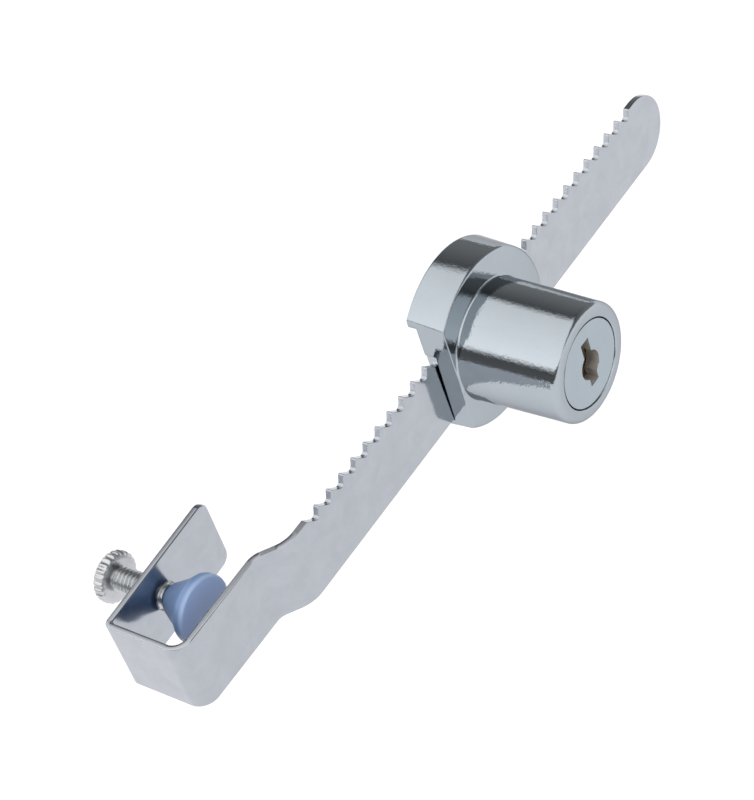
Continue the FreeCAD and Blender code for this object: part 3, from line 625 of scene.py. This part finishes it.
THREAD_CREST = 2.0
THREAD_ROOT = 1.58
THREAD_PITCH = 0.7
NECK_RADIUS = 1.3
NECK_END = 11.5
COLLAR_RADIUS = 1.9
COLLAR_FRONT = 7.85
COLLAR_BACK = 9.15


def knurled_head(shape):
    """A disc with straight, rounded notches round its rim and slightly dished faces."""
    count = KNOB_NOTCHES * POINTS_PER_NOTCH
    rows = [
        (KNOB_INNER + DISHING, 2.2, 0.0), (KNOB_INNER, 2.9, 0.0), (KNOB_INNER, 3.45, 0.0),
        (KNOB_INNER + 0.1, 3.72, 0.45), (KNOB_INNER + 0.32, 3.9, 0.9), (KNOB_INNER + 0.6, KNOB_RADIUS, 1.0),
        (KNOB_OUTER - 0.6, KNOB_RADIUS, 1.0), (KNOB_OUTER - 0.32, 3.9, 0.9), (KNOB_OUTER - 0.1, 3.72, 0.45),
        (KNOB_OUTER, 3.45, 0.0), (KNOB_OUTER, 2.9, 0.0), (KNOB_OUTER - DISHING, 2.2, 0.0),
    ]
    rings = []
    for y, radius, depth in rows:
        ring = []
        for i in range(count):
            phase = (i % POINTS_PER_NOTCH) / POINTS_PER_NOTCH
            notch = NOTCH_DEPTH * depth * max(0.0, math.cos(math.pi * (phase - 0.5) / NOTCH_SHARE)) ** 0.8
            angle = 2 * math.pi * i / count
            reach = radius - notch
            ring.append(shape.verts.new((reach * math.cos(angle), y, reach * math.sin(angle))))
        rings.append(ring)
    for first, second in zip(rings, rings[1:]):
        join_rings(shape, first, second)
    for ring, y in ((rings[0], KNOB_INNER + DISHING), (rings[-1], KNOB_OUTER - DISHING)):
        join_rings(shape, [shape.verts.new((0, y, 0))], ring)


def rolled_thread(shape, start, end, columns=48, steps=10):
    """A ridge that winds round the shank, fading out at both ends."""
    rows = int((end - start) / THREAD_PITCH * steps)
    rings = []
    for row in range(rows + 1):
        y = start + (end - start) * row / rows
        fade = min(1.0, min(y - start, end - y) / (THREAD_PITCH * 0.8))
        ring = []
        for column in range(columns):
            angle = 2 * math.pi * column / columns
            turn = (y / THREAD_PITCH + column / columns) % 1
            ridge = min(1.0, max(0.0, 1.25 * (1 - abs(2 * turn - 1)) - 0.08))
            radius = THREAD_ROOT + (THREAD_CREST - THREAD_ROOT) * ridge * fade
            ring.append(shape.verts.new((radius * math.cos(angle), y, radius * math.sin(angle))))
        rings.append(ring)
    for first, second in zip(rings, rings[1:]):
        join_rings(shape, first, second)
    for ring, y in ((rings[0], start), (rings[-1], end)):
        join_rings(shape, [shape.verts.new((0, y, 0))], ring)


INTO_HEAD = 0.12
INTO_SHANK = 0.02

screw = bmesh.new()
knurled_head(screw)
rolled_thread(screw, NECK_END, KNOB_INNER + INTO_HEAD)
turned(screw, rounded([
    (COLLAR_FRONT, 0),
    (COLLAR_FRONT, COLLAR_RADIUS, 0.1),
    (COLLAR_BACK, COLLAR_RADIUS, 0.1),
    (COLLAR_BACK, NECK_RADIUS),
    (NECK_END + INTO_SHANK, NECK_RADIUS),
    (NECK_END + INTO_SHANK, 0),
]), 0, 0, 48, closed=False)
thumb_screw = new_piece("thumb_screw_turned", screw, "zinc_screw", "screw", sharp=40)
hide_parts("thumb_screw")


# Clamp pad: bell-shaped, with a rounded rim and shoulder

PAD_FRONT = 5.4
PAD_LENGTH = 6.0
PAD_CLEARANCE = 0.1

bell = bmesh.new()
turned(bell, rounded([
    (PAD_FRONT, 0),
    (PAD_FRONT, 5.2, 0.4),
    (PAD_FRONT + 1.5, 5.18, 1.1),
    (PAD_FRONT + 3.0, 3.95, 1.6),
    (PAD_FRONT + PAD_LENGTH, 2.3, 0.25),
    (PAD_FRONT + PAD_LENGTH, NECK_RADIUS + PAD_CLEARANCE),
    (COLLAR_BACK + PAD_CLEARANCE, NECK_RADIUS + PAD_CLEARANCE),
    (COLLAR_BACK + PAD_CLEARANCE, COLLAR_RADIUS + PAD_CLEARANCE),
    (COLLAR_FRONT - PAD_CLEARANCE, COLLAR_RADIUS + PAD_CLEARANCE),
    (COLLAR_FRONT - PAD_CLEARANCE, 0),
]), 0, 0, 96, closed=False)
pad = new_piece("pad_bell", bell, "blue_pad", "pad", sharp=35)
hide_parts("clamp_pad")


# Pawl spring as a real coil

SPRING_Y = -4.55
SPRING_LOW = 7.8
SPRING_HIGH = PAWL_ROOM_TOP
SPRING_RADIUS = 1.3
SPRING_WIRE = 0.18
SPRING_TURNS = 6.5


def coil(shape, x, y, low, high, radius, wire, turns, sides=10, per_turn=28):
    """A compression spring along Z, with its end turns closed. The radii are the coil's outer and the wire's."""
    count = int(turns * per_turn)
    rings = []
    for i in range(count + 1):
        turn = i / per_turn
        share = i / count
        closing = 0.9 / turns
        if share < closing:
            lift = closing * 0.35 * (share / closing)
        elif share > 1 - closing:
            lift = 1 - closing * 0.35 * ((1 - share) / closing)
        else:
            lift = closing * 0.35 + (share - closing) / (1 - 2 * closing) * (1 - 0.7 * closing)
        z = low + wire + (high - low - 2 * wire) * lift
        angle = 2 * math.pi * turn
        out = Vector((math.cos(angle), math.sin(angle), 0))
        middle = Vector((x, y, z)) + out * (radius - wire)
        ring = []
        for side in range(sides):
            a = 2 * math.pi * side / sides
            ring.append(shape.verts.new(middle + out * wire * math.cos(a) + Vector((0, 0, wire * math.sin(a)))))
        rings.append(ring)
    for first, second in zip(rings, rings[1:]):
        join_rings(shape, first, second)
    shape.faces.new(rings[0])
    shape.faces.new(rings[-1])


spring = bmesh.new()
coil(spring, LOCK_X, SPRING_Y, SPRING_LOW, SPRING_HIGH, SPRING_RADIUS, SPRING_WIRE, SPRING_TURNS)
pawl_coil = new_piece("pawl_spring_coil", spring, "spring_steel", "lock_body")
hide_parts("pawl_spring")
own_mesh(pawl_coil)


# CAD nodes keep their meshes and get smooth shading and their metals

WELD = 0.000002

slot_of = {part["node"]: part["material_slot"] for part in frame["record"]["subparts"]}
for name, node in frame["nodes"].items():
    dress(node, slot_of[name])
    weld = node.modifiers.new("weld", "WELD")
    weld.merge_threshold = WELD
    split = node.modifiers.new("split", "EDGE_SPLIT")
    split.split_angle = math.radians(28)
    node.data.shade_smooth()


# Camera

EYE = Vector((-132.8, -190.0, 241.1)) * MM
TO_THE_RIGHT = (0.5377, -0.8034, -0.2557)
LOOKING = (0.4942, 0.546, -0.6765)

camera_data = bpy.data.cameras.new("camera")
camera_data.lens = 108.05
camera_data.sensor_width = 36
camera = bpy.data.objects.new("camera", camera_data)
bpy.context.scene.collection.objects.link(camera)
right = Vector(TO_THE_RIGHT).normalized()
forward = Vector(LOOKING).normalized()
up = right.cross(forward)
turned_to = Matrix((right, up, -forward)).transposed()
camera.matrix_world = Matrix.Translation(EYE) @ turned_to.to_4x4()
bpy.context.scene.camera = camera


# Floor: one plain pale sheet below the lock

FLOOR_Z = -60 * MM
FLOOR_HALF = 8
PALE = (0.985, 0.98, 1.0, 1)
LIT_SHARE = 0.78
GLOW = 0.36

sheet = bmesh.new()
bmesh.ops.create_grid(sheet, x_segments=1, y_segments=1, size=FLOOR_HALF)
floor_mesh = bpy.data.meshes.new("floor")
sheet.to_mesh(floor_mesh)
sheet.free()
floor = bpy.data.objects.new("floor", floor_mesh)
floor.location = (0.06, 0, FLOOR_Z)
bpy.context.scene.collection.objects.link(floor)

paper = bpy.data.materials.new("floor_paper")
paper.use_nodes = True
paper.node_tree.nodes.clear()
n = Nodes(paper.node_tree)
seen = n.add("LightPath")
direct = n.math("MAXIMUM", seen.outputs["Is Camera Ray"],
                n.math("MAXIMUM", seen.outputs["Is Glossy Ray"], seen.outputs["Is Transmission Ray"]))
lit = n.add("BsdfDiffuse", Color=[LIT_SHARE * c for c in PALE[:3]] + [1])
glow = n.add("Emission", Color=PALE, Strength=n.math("MULTIPLY", direct, GLOW))
both = n.add("AddShader")
n.put(both.inputs[0], lit.outputs[0])
n.put(both.inputs[1], glow.outputs[0])
n.put(n.add("OutputMaterial").inputs["Surface"], both.outputs[0])
floor_mesh.materials.append(paper)


# Studio: a broad soft light above, between two darker sides, and a pale room below

# Degrees from +X over +Z, round the lock's axis, and the level of light there
LEVELS = (
    (54, 0.12), (65, 1.15), (153, 1.55), (162, 0.12), (184, 0.16), (198, 0.75), (310, 0.75),
)
START_LEVEL = 0.35

world = bpy.data.worlds.new("studio")
bpy.context.scene.world = world
world.use_nodes = True
world.node_tree.nodes.clear()
n = Nodes(world.node_tree)
direction = n.add("SeparateXYZ", Vector=n.add("TexCoord").outputs["Generated"])
angle = n.math("ARCTAN2", direction.outputs["Z"], direction.outputs["X"])
turn = n.math("FRACT", n.math("ADD", n.math("DIVIDE", angle, 2 * math.pi), 1.0))
surround = n.add("ValToRGB", Fac=turn)
ring = surround.color_ramp
for degrees, level in LEVELS:
    ring.elements.new(degrees / 360).color = (level, level, level, 1)
for end in (ring.elements[0], ring.elements[-1]):
    end.color = (START_LEVEL, START_LEVEL, START_LEVEL, 1)
sky = n.add("Background", Color=surround.outputs[0], Strength=1.0)
n.put(n.add("OutputWorld").inputs["Surface"], sky.outputs[0])

bpy.context.scene.view_settings.view_transform = "Standard"
